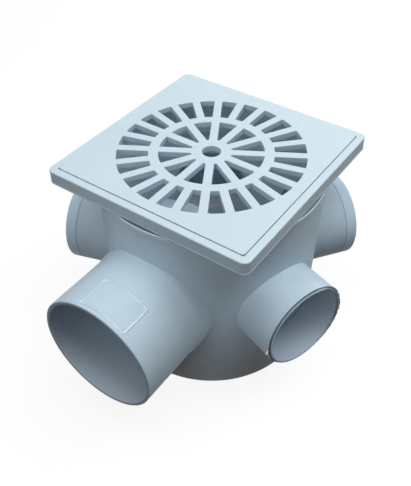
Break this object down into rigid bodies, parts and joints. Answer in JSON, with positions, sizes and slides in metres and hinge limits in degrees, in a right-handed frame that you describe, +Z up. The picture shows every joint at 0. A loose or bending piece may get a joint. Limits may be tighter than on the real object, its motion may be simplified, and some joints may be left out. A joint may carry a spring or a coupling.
{
  "type": "floor gully trap",
  "caption": "Moulded floor gully trap: round chamber with an outlet spigot, side inlet stubs, a lift-out slotted grate in a square frame, and a water-seal hood.",
  "frame": {"origin": "centre of the chamber's base, on the face it stands on", "axes": "+Z up through the chamber and the grate; -Y along the outlet, towards its mouth"},
  "size_m": [0.2761, 0.2951, 0.1996],
  "materials": {
    "body_plastic": "satin moulded",
    "cover_plastic": "satin moulded",
    "grate_plastic": "satin moulded",
    "hood_plastic": "satin moulded",
    "cap_plastic": "satin moulded"
  },
  "bodies": {
    "root": {"trap_body": "body_plastic", "cover_frame": "cover_plastic", "grate": "grate_plastic", "trap_hood": "hood_plastic", "cap_left": "cap_plastic", "cap_rear_left": "cap_plastic", "cap_rear_right": "cap_plastic", "sawn_cap_ring": "cap_plastic"}
  },
  "joints": []
}
